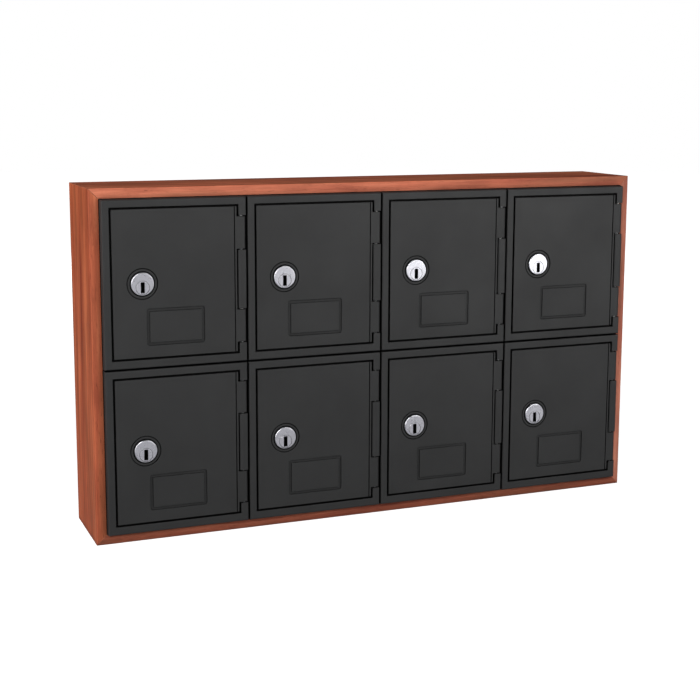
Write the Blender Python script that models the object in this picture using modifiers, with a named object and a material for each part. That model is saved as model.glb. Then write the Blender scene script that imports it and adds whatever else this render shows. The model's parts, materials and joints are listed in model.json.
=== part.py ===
"""Eight-door personal locker: moulded compartments with keyed doors, in a mitred hardwood surround.

Metres, +Z up. The doors face -Y. The origin is the centre of the footprint, on the underside of the bottom
board. Each compartment is drawn once in its own frame: U runs right from its left edge, V runs down from its
top edge, and DEPTH runs back from the front face of its bezel. Four columns and two rows fill the surround.
"""

import math

import bmesh
import bpy
from mathutils import Matrix, Vector

# Driving dimensions
COLUMNS, ROWS = 4, 2
PITCH_X, PITCH_Z = 0.138, 0.158  # one compartment, left to right and top to bottom
SEAM = 0.0004  # half the gap between neighbouring compartments
BOARD = 0.0095  # thickness of the surround's boards
BOARD_DEPTH = 0.092
MITRE_GAP = 0.00015  # half the joint between two boards
PROUD = 0.0072  # how far the bezels stand in front of the boards
CELL_DEPTH = BOARD_DEPTH + PROUD
WALL = 0.0024
EASE = 0.0008  # small bevel on edges that a hand meets

# Door and the opening it closes
DOOR_GAP = 0.0012
DOOR_LEFT, DOOR_RIGHT = 0.0094, 0.128
DOOR_TOP, DOOR_BOTTOM = 0.0092, 0.1482
DOOR_THICK = 0.0032
REBATE = 0.0036  # depth of the step the door closes into
LIP_BACK = 0.0056  # rear face of the lip the door closes against
THROAT_LEFT, THROAT_RIGHT = 0.014, 0.124
THROAT_TOP, THROAT_BOTTOM = 0.014, 0.1441
THROAT_WALL = 0.002
THROAT_BACK = 0.014  # rear edge of the throat, which the cam locks behind
RIB_INSET, RIB_WALL, RIB_BACK = 0.002, 0.0018, 0.0062  # stiffening rib on the back of the door
RELIEF, RELIEF_FRONT = 0.0008, 0.0014  # step behind the hinge edge, which lets it swing past the bezel

# Hinge: the door carries the outer two knuckles, the bezel the middle one
HINGE_U, KNUCKLE_R = 0.1332, 0.004
PIN_R, PIN_BORE_R = 0.0015, 0.0018
PIN_TOP, PIN_BOTTOM = 0.012, 0.1456
PIN_BORE_TOP = 0.0112
POCKET_TOP, POCKET_BOTTOM = 0.0183, 0.1393
POCKET_DEPTH, POCKET_FLOOR = 0.0088, 0.011
POCKET_CLEARANCE = 0.0006
KNUCKLE_GAP = 0.0008
MIDDLE_TOP, MIDDLE_BOTTOM = 0.0507, 0.1068
WEB_OVERLAP, WEB_FRONT, WEB_BACK = 0.0012, 0.0008, 0.003  # the strip from the door to each of its knuckles

# Label panel outlined on the door
LABEL_LEFT, LABEL_RIGHT = 0.041, 0.095
LABEL_TOP, LABEL_BOTTOM = 0.1028, 0.1355
GROOVE, GROOVE_DEPTH = 0.0014, 0.0008

# Cam lock
LOCK_U, LOCK_V = 0.0372, 0.0786
LOCK_PROUD = 0.0009
FACE_R, FACE_BACK, FACE_RIM = 0.0109, 0.0007, 0.0007
RECESS_R, RECESS_DEPTH = 0.0145, 0.001
BODY_R, BODY_BACK = 0.0096, 0.0142
BODY_FLAT = 0.0086  # half the distance across the flats that stop the lock turning in the door
LOCK_GAP = 0.0003  # between the pieces of the lock, and between the lock and the door
PLUG_DROP = 0.0034  # the plug sits this far below the centre of the lock's face
PLUG_HEAD_R, PLUG_SHANK_R = 0.0062, 0.0054
PLUG_HEAD_BACK = 0.0004
KEYWAY_WIDTH, KEYWAY_HEIGHT, KEYWAY_DEPTH = 0.0031, 0.0094, 0.011
NUT_ACROSS, NUT_BACK = 0.0245, 0.0074
CAM_FRONT, CAM_BACK = 0.0149, 0.0169
CAM_LENGTH, CAM_WIDTH, TONGUE_WIDTH = 0.033, 0.013, 0.0104
TAIL_HALF, TAIL_BACK = 0.003, 0.0166  # the square end of the plug that drives the cam
SCREW_R, SCREW_BACK = 0.0045, 0.0192

# Wall screw holes through the back of each compartment
WALL_HOLE_R, WALL_HOLE_INSET = 0.0025, 0.03

# Places that follow from the sizes above
TOTAL_DEPTH = CELL_DEPTH + LOCK_PROUD
BACK_Y = TOTAL_DEPTH / 2
FRONT_Y = BACK_Y - CELL_DEPTH
INNER_X = COLUMNS * PITCH_X / 2
INNER_Z = ROWS * PITCH_Z
PLUG_V = LOCK_V + PLUG_DROP

SMALL, ROUND, FINE = 10, 16, 20  # facets of pins and thin bores, of barrels, and of the lock's face
SMOOTH_BELOW = math.radians(40)  # edges that turn less than this are shaded smooth
OVERLAP = 0.0004  # joined shapes run this far into each other
CLEAR = 0.001  # cutters stand this far outside the faces they cut
ON_PLANE = 1e-6

# Finishes: name, colour, roughness, metallic
BLACK = ("black_moulding", (0.045, 0.045, 0.046), 0.5, 0.0)
WOOD = ("stained_wood", (0.36, 0.09, 0.035), 0.45, 0.0)
CHROME = ("satin_chrome", (0.72, 0.72, 0.74), 0.25, 1.0)
STEEL = ("zinc_steel", (0.55, 0.55, 0.53), 0.35, 1.0)


def material(name, colour, roughness, metallic):
    found = bpy.data.materials.get(name)
    if found:
        return found
    made = bpy.data.materials.new(name)
    made.use_nodes = True
    shader = made.node_tree.nodes["Principled BSDF"]
    shader.inputs["Base Color"].default_value = (*colour, 1.0)
    shader.inputs["Roughness"].default_value = roughness
    shader.inputs["Metallic"].default_value = metallic
    return made


def clear_scene():
    for obj in list(bpy.data.objects):
        bpy.data.objects.remove(obj)


def new_collection(name):
    found = bpy.data.collections.new(name)
    bpy.context.scene.collection.children.link(found)
    return found


def link_mesh(name, mesh, collection):
    obj = bpy.data.objects.new(name, mesh)
    collection.objects.link(obj)
    return obj


def helper(name, bm):
    """A hidden working object that holds the shape in bm."""
    mesh = bpy.data.meshes.new(name)
    bm.to_mesh(mesh)
    bm.free()
    obj = link_mesh(name, mesh, CUTTERS)
    obj.hide_render = True
    obj.display_type = "WIRE"
    return obj


# Solids in the compartment's frame ----------------------------------------------------------------


def block(name, u, v, depth):
    """A box between two values of U, of V and of DEPTH."""
    low = Vector((u[0], depth[0], -v[1]))
    high = Vector((u[1], depth[1], -v[0]))
    bm = bmesh.new()
    place = Matrix.Translation((low + high) / 2) @ Matrix.Diagonal((*(high - low), 1))
    bmesh.ops.create_cube(bm, size=1, matrix=place)
    return helper(name, bm)


def cylinder(name, radii, length, place, facets):
    """A cylinder, or a cone where the two radii differ, with its axis along the Z of place."""
    bm = bmesh.new()
    turn = Matrix.Rotation(math.pi / facets, 4, "Z")
    bmesh.ops.create_cone(
        bm,
        cap_ends=True,
        segments=facets,
        radius1=radii[0],
        radius2=radii[1],
        depth=length,
        matrix=place @ turn,
    )
    return helper(name, bm)


def upright(name, radius, v, facets):
    """A cylinder on the hinge's axis, between two values of V."""
    middle = Matrix.Translation((HINGE_U, KNUCKLE_R, -(v[0] + v[1]) / 2))
    return cylinder(name, (radius, radius), v[1] - v[0], middle, facets)


def spindle(name, radius, u, v, depth, facets, front_radius=None):
    """A cylinder along DEPTH, with its axis at U and V. A front_radius makes it a cone."""
    middle = Matrix.Translation((u, (depth[0] + depth[1]) / 2, -v))
    lie_down = Matrix.Rotation(math.pi / 2, 4, "X")
    radii = (radius, radius if front_radius is None else front_radius)
    return cylinder(name, radii, depth[1] - depth[0], middle @ lie_down, facets)


def boolean(obj, other, operation):
    step = obj.modifiers.new(other.name, "BOOLEAN")
    step.operation = operation
    step.object = other
    step.solver = "EXACT"


def cut(obj, *others):
    for other in others:
        boolean(obj, other, "DIFFERENCE")


def join(obj, *others):
    for other in others:
        boolean(obj, other, "UNION")


def baked(obj, origin=(0, 0, 0)):
    """The object's evaluated mesh, moved so that origin becomes its local origin."""
    bpy.context.view_layer.update()
    graph = bpy.context.evaluated_depsgraph_get()
    mesh = bpy.data.meshes.new_from_object(obj.evaluated_get(graph))
    mesh.transform(Matrix.Translation(-Vector(origin)))
    mesh.shade_smooth()
    mesh.set_sharp_from_angle(angle=SMOOTH_BELOW)
    return mesh


def bevel_edges(obj, width, picked):
    """Bevels the edges for which picked(midpoint, direction) is true."""
    mesh = obj.data
    weights = mesh.attributes.new("bevel_weight_edge", "FLOAT", "EDGE")
    for edge in mesh.edges:
        ends = [mesh.vertices[i].co for i in edge.vertices]
        middle = (ends[0] + ends[1]) / 2
        along = (ends[1] - ends[0]).normalized()
        weights.data[edge.index].value = float(picked(middle, along))
    step = obj.modifiers.new("eased edges", "BEVEL")
    step.limit_method = "WEIGHT"
    step.width = width
    step.segments = 1


def on_front(middle, along):
    return middle.y < ON_PLANE


# The compartment ----------------------------------------------------------------------------------


def compartment_mesh():
    """Moulded box with a front bezel, a throat behind the door, and the hinge's middle knuckle."""
    right, bottom = PITCH_X - SEAM, PITCH_Z - SEAM
    box = block("compartment", (SEAM, right), (SEAM, bottom), (0, CELL_DEPTH))
    bevel_edges(box, EASE, on_front)
    inside_u = (SEAM + WALL, right - WALL)
    inside_v = (SEAM + WALL, bottom - WALL)
    cut(box, block("cavity", inside_u, inside_v, (LIP_BACK, CELL_DEPTH - WALL)))
    throat_u = (THROAT_LEFT - THROAT_WALL, THROAT_RIGHT + THROAT_WALL)
    throat_v = (THROAT_TOP - THROAT_WALL, THROAT_BOTTOM + THROAT_WALL)
    hinge_bar_u = (THROAT_RIGHT, right - OVERLAP)
    hinge_bar_v = (SEAM + OVERLAP, bottom - OVERLAP)
    join(
        box,
        block("throat", throat_u, throat_v, (LIP_BACK - OVERLAP, THROAT_BACK)),
        block("hinge_bar", hinge_bar_u, hinge_bar_v, (LIP_BACK - OVERLAP, POCKET_FLOOR)),
    )
    cut_opening(box)
    add_middle_knuckle(box)
    cut_wall_holes(box)
    return baked(box)


def cut_opening(box):
    """The step the door closes into, the way through behind it, and the pocket for the door's knuckles."""
    step_u = (DOOR_LEFT - DOOR_GAP, DOOR_RIGHT + DOOR_GAP)
    step_v = (DOOR_TOP - DOOR_GAP, DOOR_BOTTOM + DOOR_GAP)
    through = (-CLEAR, THROAT_BACK + CLEAR)
    pocket_u = (HINGE_U - KNUCKLE_R - POCKET_CLEARANCE, PITCH_X + CLEAR)
    cut(
        box,
        block("rebate", step_u, step_v, (-CLEAR, REBATE)),
        block("throat_hole", (THROAT_LEFT, THROAT_RIGHT), (THROAT_TOP, THROAT_BOTTOM), through),
        block("hinge_pocket", pocket_u, (POCKET_TOP, POCKET_BOTTOM), (-CLEAR, POCKET_DEPTH)),
    )


def add_middle_knuckle(box):
    """The bezel's own knuckle, on a foot in the pocket, and the bore that the pin is pushed up from below."""
    middle_v = (MIDDLE_TOP, MIDDLE_BOTTOM)
    knuckle = upright("middle_knuckle", KNUCKLE_R, middle_v, ROUND)
    foot_u = (HINGE_U - KNUCKLE_R, HINGE_U + KNUCKLE_R)
    join(knuckle, block("middle_foot", foot_u, middle_v, (KNUCKLE_R, POCKET_DEPTH + OVERLAP)))
    join(box, knuckle)
    cut(box, upright("pin_bore", PIN_BORE_R, (PIN_BORE_TOP, PITCH_Z + CLEAR), SMALL))


def cut_wall_holes(box):
    through = (CELL_DEPTH - WALL - CLEAR, CELL_DEPTH + CLEAR)
    for name, v in (("upper", WALL_HOLE_INSET), ("lower", PITCH_Z - WALL_HOLE_INSET)):
        cut(box, spindle(f"{name}_wall_hole", WALL_HOLE_R, PITCH_X / 2, v, through, SMALL))


# The door -----------------------------------------------------------------------------------------


def door_mesh(origin):
    """Plate with two knuckles, a label outline, a recess for the lock and a rib on its back."""
    door = block("door", (DOOR_LEFT, DOOR_RIGHT), (DOOR_TOP, DOOR_BOTTOM), (0, DOOR_THICK))
    bevel_edges(door, EASE, on_front)
    relief_u = (DOOR_RIGHT - RELIEF, DOOR_RIGHT + CLEAR)
    relief_v = (DOOR_TOP - CLEAR, DOOR_BOTTOM + CLEAR)
    cut(door, block("hinge_relief", relief_u, relief_v, (RELIEF_FRONT, DOOR_THICK + CLEAR)))
    upper_span = (POCKET_TOP + KNUCKLE_GAP, MIDDLE_TOP - KNUCKLE_GAP)
    lower_span = (MIDDLE_BOTTOM + KNUCKLE_GAP, POCKET_BOTTOM - KNUCKLE_GAP)
    join(door, door_rib(), door_knuckle("upper", upper_span), door_knuckle("lower", lower_span))
    recess = spindle("recess", RECESS_R, LOCK_U, LOCK_V, (-CLEAR, RECESS_DEPTH), FINE)
    through = (-CLEAR, DOOR_THICK + CLEAR)
    hole = lock_barrel("lock_hole", BODY_R + LOCK_GAP, BODY_FLAT + LOCK_GAP, through)
    cut(door, label_groove(), recess, hole)
    return baked(door, origin)


def door_rib():
    rib_u = (THROAT_LEFT + RIB_INSET, THROAT_RIGHT - RIB_INSET)
    rib_v = (THROAT_TOP + RIB_INSET, THROAT_BOTTOM - RIB_INSET)
    rib = block("rib", rib_u, rib_v, (DOOR_THICK - OVERLAP, RIB_BACK))
    hollow_u = (rib_u[0] + RIB_WALL, rib_u[1] - RIB_WALL)
    hollow_v = (rib_v[0] + RIB_WALL, rib_v[1] - RIB_WALL)
    cut(rib, block("rib_hollow", hollow_u, hollow_v, (0, RIB_BACK + CLEAR)))
    return rib


def door_knuckle(name, span):
    """A barrel on the hinge's axis, the web that joins it to the door, and the bore for the pin."""
    barrel = upright(f"{name}_knuckle", KNUCKLE_R, span, ROUND)
    web_u = (DOOR_RIGHT - WEB_OVERLAP, HINGE_U)
    join(barrel, block(f"{name}_web", web_u, span, (WEB_FRONT, WEB_BACK)))
    bore_span = (span[0] - CLEAR, span[1] + CLEAR)
    cut(barrel, upright(f"{name}_knuckle_bore", PIN_BORE_R, bore_span, SMALL))
    return barrel


def label_groove():
    outer = block("groove", (LABEL_LEFT, LABEL_RIGHT), (LABEL_TOP, LABEL_BOTTOM), (-CLEAR, GROOVE_DEPTH))
    island_u = (LABEL_LEFT + GROOVE, LABEL_RIGHT - GROOVE)
    island_v = (LABEL_TOP + GROOVE, LABEL_BOTTOM - GROOVE)
    cut(outer, block("island", island_u, island_v, (-2 * CLEAR, GROOVE_DEPTH + CLEAR)))
    return outer


# The lock -----------------------------------------------------------------------------------------


def lock_barrel(name, radius, half_flats, depth):
    """A cylinder round the lock's centre with a flat on its left and right sides."""
    barrel = spindle(name, radius, LOCK_U, LOCK_V, depth, ROUND)
    across = (LOCK_U - half_flats, LOCK_U + half_flats)
    up_down = (LOCK_V - 2 * radius, LOCK_V + 2 * radius)
    slab = block(f"{name}_flats", across, up_down, (depth[0] - CLEAR, depth[1] + CLEAR))
    boolean(barrel, slab, "INTERSECT")
    return barrel


def on_plug_axis(name, radius, depth, facets=ROUND):
    return spindle(name, radius, LOCK_U, PLUG_V, depth, facets)


def square_on_plug_axis(name, half, depth):
    return block(name, (LOCK_U - half, LOCK_U + half), (PLUG_V - half, PLUG_V + half), depth)


def lock_housing_mesh(origin):
    """Round face with a softened rim on a flatted barrel, bored off centre for the plug."""
    front = -LOCK_PROUD
    face = spindle("face", FACE_R, LOCK_U, LOCK_V, (front + FACE_RIM - OVERLAP / 4, FACE_BACK), FINE)
    rim = spindle("rim", FACE_R, LOCK_U, LOCK_V, (front, front + FACE_RIM), FINE, FACE_R - FACE_RIM)
    barrel = lock_barrel("barrel", BODY_R, BODY_FLAT, (FACE_BACK - OVERLAP, BODY_BACK))
    join(face, rim, barrel)
    head_depth = (front - CLEAR, PLUG_HEAD_BACK + LOCK_GAP)
    shank_depth = (front - CLEAR, BODY_BACK + CLEAR)
    cut(
        face,
        on_plug_axis("head_bore", PLUG_HEAD_R + LOCK_GAP, head_depth),
        on_plug_axis("shank_bore", PLUG_SHANK_R + LOCK_GAP, shank_depth),
    )
    return baked(face, origin)


def lock_plug_mesh(origin):
    """Headed plug with a keyway in front and a square tail behind that turns the cam."""
    plug = on_plug_axis("plug", PLUG_HEAD_R, (-LOCK_PROUD, PLUG_HEAD_BACK))
    shank = on_plug_axis("shank", PLUG_SHANK_R, (PLUG_HEAD_BACK - OVERLAP, BODY_BACK))
    join(plug, shank, square_on_plug_axis("tail", TAIL_HALF, (BODY_BACK - CLEAR, TAIL_BACK)))
    keyway_u = (LOCK_U - KEYWAY_WIDTH / 2, LOCK_U + KEYWAY_WIDTH / 2)
    keyway_v = (PLUG_V - KEYWAY_HEIGHT / 2, PLUG_V + KEYWAY_HEIGHT / 2)
    cut(plug, block("keyway", keyway_u, keyway_v, (-LOCK_PROUD - CLEAR, KEYWAY_DEPTH)))
    return baked(plug, origin)


def lock_cam_mesh(origin):
    """Flat cam that hangs from the plug's tail, with the head of the screw that holds it there."""
    cam = on_plug_axis("cam", CAM_WIDTH / 2, (CAM_FRONT, CAM_BACK))
    tongue_u = (LOCK_U - TONGUE_WIDTH / 2, LOCK_U + TONGUE_WIDTH / 2)
    join(cam, block("tongue", tongue_u, (PLUG_V, PLUG_V + CAM_LENGTH), (CAM_FRONT, CAM_BACK)))
    cut(cam, square_on_plug_axis("square", TAIL_HALF + LOCK_GAP, (CAM_FRONT - CLEAR, CAM_BACK)))
    join(cam, on_plug_axis("cam_screw", SCREW_R, (CAM_BACK - OVERLAP / 4, SCREW_BACK), 6))
    return baked(cam, origin)


def lock_nut_mesh(origin):
    """Hexagon nut that clamps the lock to the door."""
    depth = (DOOR_THICK + LOCK_GAP, NUT_BACK)
    corner_r = NUT_ACROSS / 2 / math.cos(math.pi / 6)
    nut = spindle("nut", corner_r, LOCK_U, LOCK_V, depth, 6)
    bore_depth = (depth[0] - CLEAR, depth[1] + CLEAR)
    cut(nut, spindle("nut_bore", BODY_R + LOCK_GAP, LOCK_U, LOCK_V, bore_depth, ROUND))
    return baked(nut, origin)


def hinge_pin_mesh():
    return baked(upright("pin", PIN_R, (PIN_TOP, PIN_BOTTOM), SMALL))


# The surround -------------------------------------------------------------------------------------


def board_mesh(length):
    """A board lying along X with its outer face up, its ends mitred and its front arrises eased."""
    bm = bmesh.new()
    bmesh.ops.create_cube(bm, size=1, matrix=Matrix.Diagonal((length, BOARD_DEPTH, BOARD, 1)))
    for vertex in bm.verts:
        shorter = MITRE_GAP + (BOARD if vertex.co.z < 0 else 0)
        vertex.co.x -= math.copysign(shorter, vertex.co.x)
    board = helper("board", bm)

    def on_front_or_outer(middle, along):
        front = middle.y < ON_PLANE - BOARD_DEPTH / 2
        return abs(along.x) > 0.99 and (front or middle.z > 0)

    bevel_edges(board, EASE, on_front_or_outer)
    return baked(board)


def add_surround(parent):
    across, up = 2 * (INNER_X + BOARD), INNER_Z + 2 * BOARD
    y = BACK_Y - BOARD_DEPTH / 2
    places = (
        ("frame_top", across, (0, y, up - BOARD / 2), 0),
        ("frame_bottom", across, (0, y, BOARD / 2), 180),
        ("frame_left", up, (-INNER_X - BOARD / 2, y, up / 2), -90),
        ("frame_right", up, (INNER_X + BOARD / 2, y, up / 2), 90),
    )
    for name, length, location, turn in places:
        board = link_mesh(name, board_mesh(length), LOCKER)
        board.location = location
        board.rotation_euler = (0, math.radians(turn), 0)
        finish(board, parent, WOOD)


# Assembly -----------------------------------------------------------------------------------------


def finish(obj, parent, look):
    obj.parent = parent
    obj.data.materials.clear()
    obj.data.materials.append(material(*look))


def add_empty(name, location, parent=None):
    empty = bpy.data.objects.new(name, None)
    LOCKER.objects.link(empty)
    empty.location = location
    empty.parent = parent
    return empty


def main():
    locker = add_empty("locker", (0, 0, 0))
    add_surround(locker)

    hinge = Vector((HINGE_U, KNUCKLE_R, 0))
    plug_axis = Vector((LOCK_U, 0, -PLUG_V))
    fixed = (("compartment", compartment_mesh(), BLACK), ("hinge_pin", hinge_pin_mesh(), STEEL))
    on_door = (
        ("door", door_mesh(hinge), BLACK),
        ("lock_housing", lock_housing_mesh(hinge), CHROME),
        ("lock_nut", lock_nut_mesh(hinge), STEEL),
    )
    on_plug = (
        ("lock_plug", lock_plug_mesh(plug_axis), CHROME),
        ("lock_cam", lock_cam_mesh(plug_axis), STEEL),
    )

    for number in range(1, COLUMNS * ROWS + 1):
        row, column = divmod(number - 1, COLUMNS)
        corner = Vector((column * PITCH_X - INNER_X, FRONT_Y, BOARD + INNER_Z - row * PITCH_Z))
        bay = add_empty(f"bay_{number}", corner, locker)
        hinge_axis = add_empty(f"hinge_axis_{number}", hinge, bay)
        lock_axis = add_empty(f"lock_axis_{number}", plug_axis - hinge, hinge_axis)
        for parent, pieces in ((bay, fixed), (hinge_axis, on_door), (lock_axis, on_plug)):
            for name, mesh, look in pieces:
                finish(link_mesh(f"{name}_{number}", mesh, LOCKER), parent, look)


clear_scene()
LOCKER = new_collection("coin_operated_locker")
CUTTERS = new_collection("cutters")
main()
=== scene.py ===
"""Looks of an eight-door personal locker: black compartments with keyed doors in a hardwood surround.

Each piece of a compartment is drawn once, in the compartment's own frame, and all compartments share it.
U runs right from its left edge, V runs down from its top edge, and DEPTH runs back from the front of its
bezel. Lengths are in metres.
"""

import json
import math

import bmesh
import bpy
from mathutils import Matrix, Vector

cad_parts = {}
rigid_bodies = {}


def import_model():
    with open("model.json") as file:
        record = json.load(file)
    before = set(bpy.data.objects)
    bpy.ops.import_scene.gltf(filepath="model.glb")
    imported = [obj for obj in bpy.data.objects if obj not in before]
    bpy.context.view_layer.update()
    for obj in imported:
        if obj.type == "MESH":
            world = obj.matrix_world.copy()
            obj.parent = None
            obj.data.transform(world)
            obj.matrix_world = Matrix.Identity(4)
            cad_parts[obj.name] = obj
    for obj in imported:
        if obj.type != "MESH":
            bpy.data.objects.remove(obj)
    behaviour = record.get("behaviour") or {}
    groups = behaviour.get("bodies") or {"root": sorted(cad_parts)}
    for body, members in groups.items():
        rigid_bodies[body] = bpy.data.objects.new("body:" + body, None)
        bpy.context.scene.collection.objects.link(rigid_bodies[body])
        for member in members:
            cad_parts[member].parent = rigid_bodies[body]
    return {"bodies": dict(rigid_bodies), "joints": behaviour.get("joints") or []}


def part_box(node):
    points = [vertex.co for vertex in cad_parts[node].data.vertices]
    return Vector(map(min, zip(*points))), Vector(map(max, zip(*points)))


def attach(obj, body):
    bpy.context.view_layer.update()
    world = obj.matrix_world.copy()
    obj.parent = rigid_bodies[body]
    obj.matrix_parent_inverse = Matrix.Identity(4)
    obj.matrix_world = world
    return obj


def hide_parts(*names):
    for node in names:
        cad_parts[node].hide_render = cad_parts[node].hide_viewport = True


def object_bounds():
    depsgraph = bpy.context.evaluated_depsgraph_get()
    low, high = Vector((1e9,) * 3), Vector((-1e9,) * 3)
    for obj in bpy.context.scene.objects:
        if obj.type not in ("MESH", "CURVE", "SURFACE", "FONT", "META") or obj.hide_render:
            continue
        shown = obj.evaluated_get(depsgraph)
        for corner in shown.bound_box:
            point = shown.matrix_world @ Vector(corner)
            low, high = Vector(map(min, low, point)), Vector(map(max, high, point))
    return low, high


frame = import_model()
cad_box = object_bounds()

# Places and sizes read from the frame -------------------------------------------------------------

CELL_LOW, CELL_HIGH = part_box("compartment_1")
COUNT = sum(1 for body in frame["bodies"] if body.startswith("door_"))
PITCH_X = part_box("compartment_2")[0].x - CELL_LOW.x
WIDTH, CELL_DEPTH, HEIGHT = CELL_HIGH - CELL_LOW
SEAM = (PITCH_X - WIDTH) / 2
PITCH_Z = HEIGHT + 2 * SEAM
JOINTS = {joint["name"]: Vector(joint["pos_m"]) for joint in frame["joints"]}


def corner(number):
    """Where U, V and DEPTH are zero for one compartment."""
    low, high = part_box(f"compartment_{number}")
    return Vector((low.x - SEAM, low.y, high.z + SEAM))


def in_cell(point):
    """A point of compartment 1 as (U, V, DEPTH)."""
    away = point - corner(1)
    return away.x, -away.z, away.y


def cell_box(node):
    """The box of one of compartment 1's nodes as ranges of U, of V and of DEPTH."""
    low, high = (in_cell(point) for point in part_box(node))
    return (low[0], high[0]), (high[1], low[1]), (low[2], high[2])


DOOR_U, DOOR_V, DOOR_DEPTH = cell_box("door_1")
FACE_U, FACE_V, FACE_DEPTH = cell_box("lock_housing_1")
NUT_U, NUT_V, NUT_DEPTH = cell_box("lock_nut_1")
CAM_U, CAM_V, CAM_DEPTH = cell_box("lock_cam_1")
PIN_V = cell_box("hinge_pin_1")[1]
HINGE_U, _, HINGE_DEPTH = in_cell(JOINTS["door_1_hinge"])
LOCK_U, PLUG_V, _ = in_cell(JOINTS["lock_1_turn"])
LOCK_V = sum(FACE_V) / 2
FACE_R = (FACE_U[1] - FACE_U[0]) / 2
FACE_FRONT = FACE_DEPTH[0]

# How shapes are drawn
CLEAR = 0.001  # cutters stand this far outside the faces they cut
OVERLAP = 0.0004  # joined shapes run this far into each other
PLAN_ROUND = 0.0004  # corners look sharp from the front
BEND_LIMIT = 0.8  # a corner's radius is at most this share of half the shape's narrower side
CORNER_STEPS = 5
ROUND_STEPS = 5
FACETS, KNUCKLE_FACETS, SMALL_FACETS, PIN_FACETS = 96, 48, 32, 24
SMOOTH_BELOW = math.radians(35)
LARGE_FACES_LEAD = 100  # weight that makes the shading of an edge follow the larger face beside it

# Moulding
BEZEL_ROUND = 0.0012
EDGE_STEP, EDGE_STEP_BACK = 0.0003, 0.0046  # the bezel's outline is inset this much, back to this DEPTH
MOUTH_ROUND = 0.0004
BACK_ROUND = 0.0006
WALL = 0.0024
DOOR_GAP = 0.0019
REBATE = 0.0036  # the DEPTH of the step that the door closes on
LIP_BACK = 0.0056
THROAT_U, THROAT_V = (0.014, 0.124), (0.014, 0.1441)  # the way through behind the door
THROAT_WALL, THROAT_BACK, THROAT_FLARE = 0.002, 0.014, 0.0008
POCKET_V = (0.0183, 0.1393)  # the hollow in the bezel that the knuckles turn in
POCKET_CLEARANCE, POCKET_DEPTH, POCKET_FLOOR = 0.0006, 0.0088, 0.011
WALL_HOLE_R, WALL_HOLE_SINK, WALL_HOLE_INSET = 0.0025, 0.0046, 0.03
SINK_STEEPNESS = 0.7  # the countersink's depth as a share of how far it widens the hole
EJECTOR_R, EJECTOR_DEPTH, EJECTOR_INSET = 0.0035, 0.0002, 0.018

# Hinge
KNUCKLE_R = 0.0039
ROUND = 2.0  # how square a barrel is: 2 is round, and more is flatter in front
SQUARENESS = 3.1
MIDDLE_R, MIDDLE_SQUARENESS = 0.0043, 6.0  # the fixed knuckle doesn't turn, so it can be squarer
KNUCKLE_GAP = 0.0008
KNUCKLE_ROUND = 0.0004
MIDDLE_V = (0.0507, 0.1068)
PIN_R, PIN_TAPER, BORE_R = 0.0015, 0.8, 0.0018  # the pin's ends lose this share of its radius
WEB_FRONT, WEB_BACK, WEB_OVERLAP = 0.0001, 0.003, 0.0012  # the strip from the panel to each knuckle

# Door
PANEL_TO_HINGE = 0.0052
PANEL_RIGHT = HINGE_U - PANEL_TO_HINGE
PANEL_SHORTER = 0.0005  # the panel stops this far short of the CAD door's top and bottom
PANEL_V = (DOOR_V[0] + PANEL_SHORTER, DOOR_V[1] - PANEL_SHORTER)
PANEL_THICK = 0.0032
PANEL_ROUND = 0.0004
RELIEF, RELIEF_FRONT = 0.0008, 0.0014  # the step behind the panel's hinge edge
CREASE_FROM_EDGE, CREASE_WIDTH, CREASE_DEPTH = 0.0022, 0.0009, 0.0011
RIB_INSET, RIB_WALL = 0.002, 0.0018
RIB_U, RIB_V = 0.075, (0.045, 0.12)  # one upright and two level ribs behind the panel
RECESS_R, RECESS_DEPTH, RECESS_ROUND = 0.0147, 0.0005, 0.0003
RING_R, RING_DEPTH = 0.0138, 0.0013  # groove at the foot of the recess's wall
SEAT_R, SEAT_INNER_R, SEAT_DEPTH = 0.0119, 0.0104, 0.0022  # groove in the recess, round the lock's face
LABEL_U, LABEL_V = (0.0422, 0.0945), (0.1034, 0.1352)
# The label outline's channel, from its mouth to its floor: each DEPTH, and half the width there
LABEL_GROOVE = ((0.0, 0.0017), (0.0001, 0.00152), (0.0003, 0.00141), (0.0009, 0.0013), (0.00105, 0.0011))

# Lock
FACE_BACK, FACE_ROUND = 0.0007, 0.0008
BODY_R, BODY_FLAT, BODY_BACK = 0.0096, 0.0086, 0.0142
THREAD_PITCH, THREAD_DEPTH = 0.001, 0.0005
THREAD_CREST, THREAD_ROOT = 0.3, 0.65  # where the crest ends and where the root lies, as shares of the pitch
LOCK_GAP = 0.0003
HEAD_R, HEAD_BACK, SHANK_R = 0.0062, 0.0004, 0.0054
HEAD_CHAMFER = 0.0002
KEYWAY_WIDTH, KEYWAY_HEIGHT, KEYWAY_BACK = 0.0038, 0.0102, 0.011
KEYWAY_MARGIN = 0.0001  # faces up to this far outside the slot are its walls
WARD_WIDTH, WARD_V, WARD_FRONT = 0.0011, (0.0795, 0.0812), 0.0006  # the ward on the keyway's left side
TAIL_HALF, TAIL_BACK = 0.003, 0.0166
CAM_THICK, TONGUE_WIDTH, CAM_ROUND = 0.002, 0.0104, 0.0003
SCREW_R, SCREW_SLOT, SCREW_SLOT_DEPTH = 0.0045, 0.0011, 0.0012
SCREW_CROSS = 0.55  # the cross recess's reach as a share of the head's radius
NUT_BORE_GAP, NUT_CHAMFER, NUT_CHAMFER_SLOPE = 0.0003, 0.0009, 1.6

# Boards
ARRIS = 0.001
INNER_ARRIS = 0.0004
MITRE_GAP = 0.00004
BOARD_RINGS = 90
ARRIS_WAVER = 0.00012
SLOW_WAVER, FAST_WAVER = 29, 71  # how fast the outer arris wavers, in radians in half a board
SLOW_PHASE, FAST_PHASE = 50, 1.3  # the slow waver starts at a place that depends on the board's length

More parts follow.
